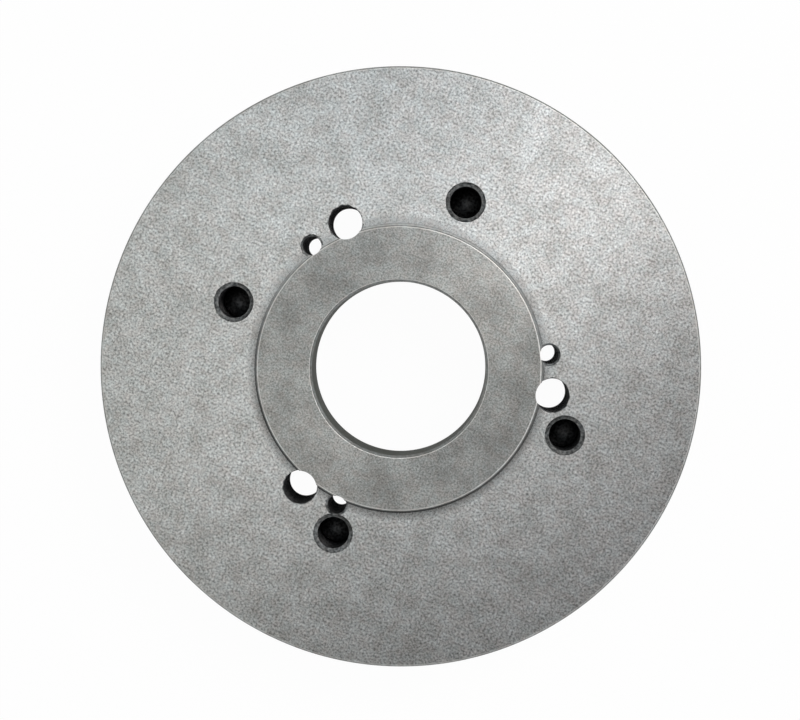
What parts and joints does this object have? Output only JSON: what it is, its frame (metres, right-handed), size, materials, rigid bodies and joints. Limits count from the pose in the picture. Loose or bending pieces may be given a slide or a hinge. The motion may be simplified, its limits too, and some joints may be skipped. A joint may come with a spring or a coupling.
{
  "type": "chuck backplate",
  "caption": "Round cast iron backplate that carries a lathe chuck on a cam-lock spindle nose, with a low register boss, a through bore and a short taper socket.",
  "frame": {"origin": "centre of the spindle face, on the axis of the bore, at the bottom of the part as it lies", "axes": "+Z along the bore axis from the spindle face to the chuck side; +X through one of the chuck bolt holes"},
  "size_m": [0.16, 0.16, 0.029],
  "materials": {
    "cast_iron": "turned and blasted grey iron, bare"
  },
  "bodies": {
    "root": {"backplate": "cast_iron"}
  },
  "joints": []
}
